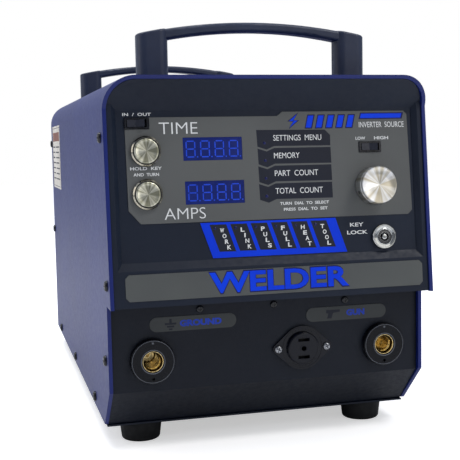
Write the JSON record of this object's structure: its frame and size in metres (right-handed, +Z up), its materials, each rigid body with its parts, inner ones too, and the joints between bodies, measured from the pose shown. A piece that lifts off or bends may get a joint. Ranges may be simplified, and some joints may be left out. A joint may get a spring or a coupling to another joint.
{
  "type": "stud welding power source",
  "caption": "Stud-welding power source: blue wrapped cabinet, leaning black control panel, displays, dial, key lock, output sockets, control receptacle and two carrying handles.",
  "frame": {"origin": "centre of the bounding box at the ground, under the middle of the cabinet", "axes": "+Z up, the control panel faces -Y, +X is to the right of someone who faces the panel"},
  "size_m": [0.2872, 0.5679, 0.3666],
  "materials": {
    "blue_paint": "satin blue powder coat",
    "black_paint": "black fine-texture powder coat",
    "zinc_sheet": "bare zinc-plated sheet",
    "screw_black": "black oxide screws",
    "screw_zinc": "zinc-plated steel",
    "handle_plastic": "moulded slate plastic",
    "foot_rubber": "black rubber",
    "overlay_grey": "printed grey polyester",
    "overlay_blue": "printed blue polyester",
    "label_white": "printed white label",
    "black_plastic": "black moulded plastic",
    "gloss_black": "glossy black plastic",
    "brass": "turned brass",
    "copper": "flat copper bar",
    "button_steel": "brushed stainless steel",
    "knob_aluminium": "spun aluminium",
    "sink_aluminium": "extruded aluminium",
    "lock_chrome": "chrome plate",
    "display_blue": "blue display filter",
    "lamp_lens": "clear lamp lens",
    "board_green": "circuit board",
    "core_steel": "laminated core",
    "winding_copper": "varnished copper winding",
    "can_sleeve": "sleeved capacitor"
  },
  "bodies": {
    "cabinet": {"cover": "blue_paint", "cover_screws": "screw_black", "front_panel": "black_paint", "lower_panel": "black_paint", "panel_screws": "screw_black", "nuts_and_spacers": "screw_zinc", "base_pan": "black_paint", "rear_panel": "black_paint", "front_handle": "handle_plastic", "rear_handle": "handle_plastic", "handle_screws": "screw_zinc", "foot_front_left": "foot_rubber", "foot_front_right": "foot_rubber", "foot_rear_left": "foot_rubber", "foot_rear_right": "foot_rubber", "foot_screws": "screw_zinc", "control_overlay": "overlay_grey", "status_overlay": "overlay_blue", "model_strip": "overlay_grey", "ground_label": "overlay_grey", "gun_label": "overlay_grey", "rating_label": "label_white", "ground_insulator": "black_plastic", "gun_insulator": "black_plastic", "ground_contact": "brass", "gun_contact": "brass", "output_busbars": "copper", "control_receptacle": "gloss_black", "receptacle_contacts": "brass", "time_button_bezel": "button_steel", "amps_button_bezel": "button_steel", "site_rocker_frame": "gloss_black", "range_rocker_frame": "gloss_black", "encoder_body": "black_plastic", "lock_body": "lock_chrome", "time_display": "display_blue", "amps_display": "display_blue", "menu_lamps": "lamp_lens", "status_lamps": "lamp_lens", "control_board": "board_green", "fan_frame": "black_plastic", "fan_guard": "screw_zinc", "breaker_body": "black_plastic", "mains_gland": "black_plastic", "power_bracket": "zinc_sheet", "heat_sink": "sink_aluminium", "power_modules": "black_plastic", "capacitor_bank": "can_sleeve", "transformer_core": "core_steel", "transformer_winding": "winding_copper"},
    "time_button": {"time_button_cap": "button_steel"},
    "amps_button": {"amps_button_cap": "button_steel"},
    "site_switch": {"site_rocker": "gloss_black"},
    "range_switch": {"range_rocker": "gloss_black"},
    "dial_push": {"dial_plunger": "black_plastic"},
    "dial": {"dial_shaft": "screw_zinc", "knob": "knob_aluminium"},
    "key_plug": {"lock_plug": "lock_chrome"},
    "fan": {"fan_rotor": "black_plastic"},
    "breaker_toggle": {"breaker_lever": "gloss_black"}
  },
  "joints": [
    {"name": "time_button_press", "type": "slide", "parent": "cabinet", "child": "time_button", "axis": [0, 0.9951, -0.0989], "range_m": [0, 0.002], "stiffness_N_per_m": 900, "springref_m": -0.0008},
    {"name": "amps_button_press", "type": "slide", "parent": "cabinet", "child": "amps_button", "axis": [0, 0.9951, -0.0989], "range_m": [0, 0.002], "stiffness_N_per_m": 900, "springref_m": -0.0008},
    {"name": "site_rocker_tilt", "type": "hinge", "parent": "cabinet", "child": "site_switch", "pos_m": [-0.1128, -0.25608, 0.27862], "axis": [0, 0.0989, 0.9951], "range_deg": [0, 16]},
    {"name": "range_rocker_tilt", "type": "hinge", "parent": "cabinet", "child": "range_switch", "pos_m": [0.0898, -0.25833, 0.25604], "axis": [0, 0.0989, 0.9951], "range_deg": [0, 16]},
    {"name": "dial_press", "type": "slide", "parent": "cabinet", "child": "dial_push", "axis": [0, 0.9951, -0.0989], "range_m": [0, 0.0008], "stiffness_N_per_m": 3000, "springref_m": -0.0008},
    {"name": "dial_turn", "type": "hinge", "parent": "dial_push", "child": "dial", "pos_m": [0.0906, -0.26516, 0.22265], "axis": [0, 0.9951, -0.0989], "continuous": true},
    {"name": "key_turn", "type": "hinge", "parent": "cabinet", "child": "key_plug", "pos_m": [0.099, -0.26954, 0.17857], "axis": [0, 0.9951, -0.0989], "range_deg": [0, 90]},
    {"name": "fan_spin", "type": "hinge", "parent": "cabinet", "child": "fan", "pos_m": [0, 0.2526, 0.221], "axis": [0, 1, 0], "continuous": true},
    {"name": "breaker_swing", "type": "hinge", "parent": "cabinet", "child": "breaker_toggle", "pos_m": [-0.072, 0.2606, 0.087], "axis": [1, 0, 0], "range_deg": [0, 40]}
  ]
}
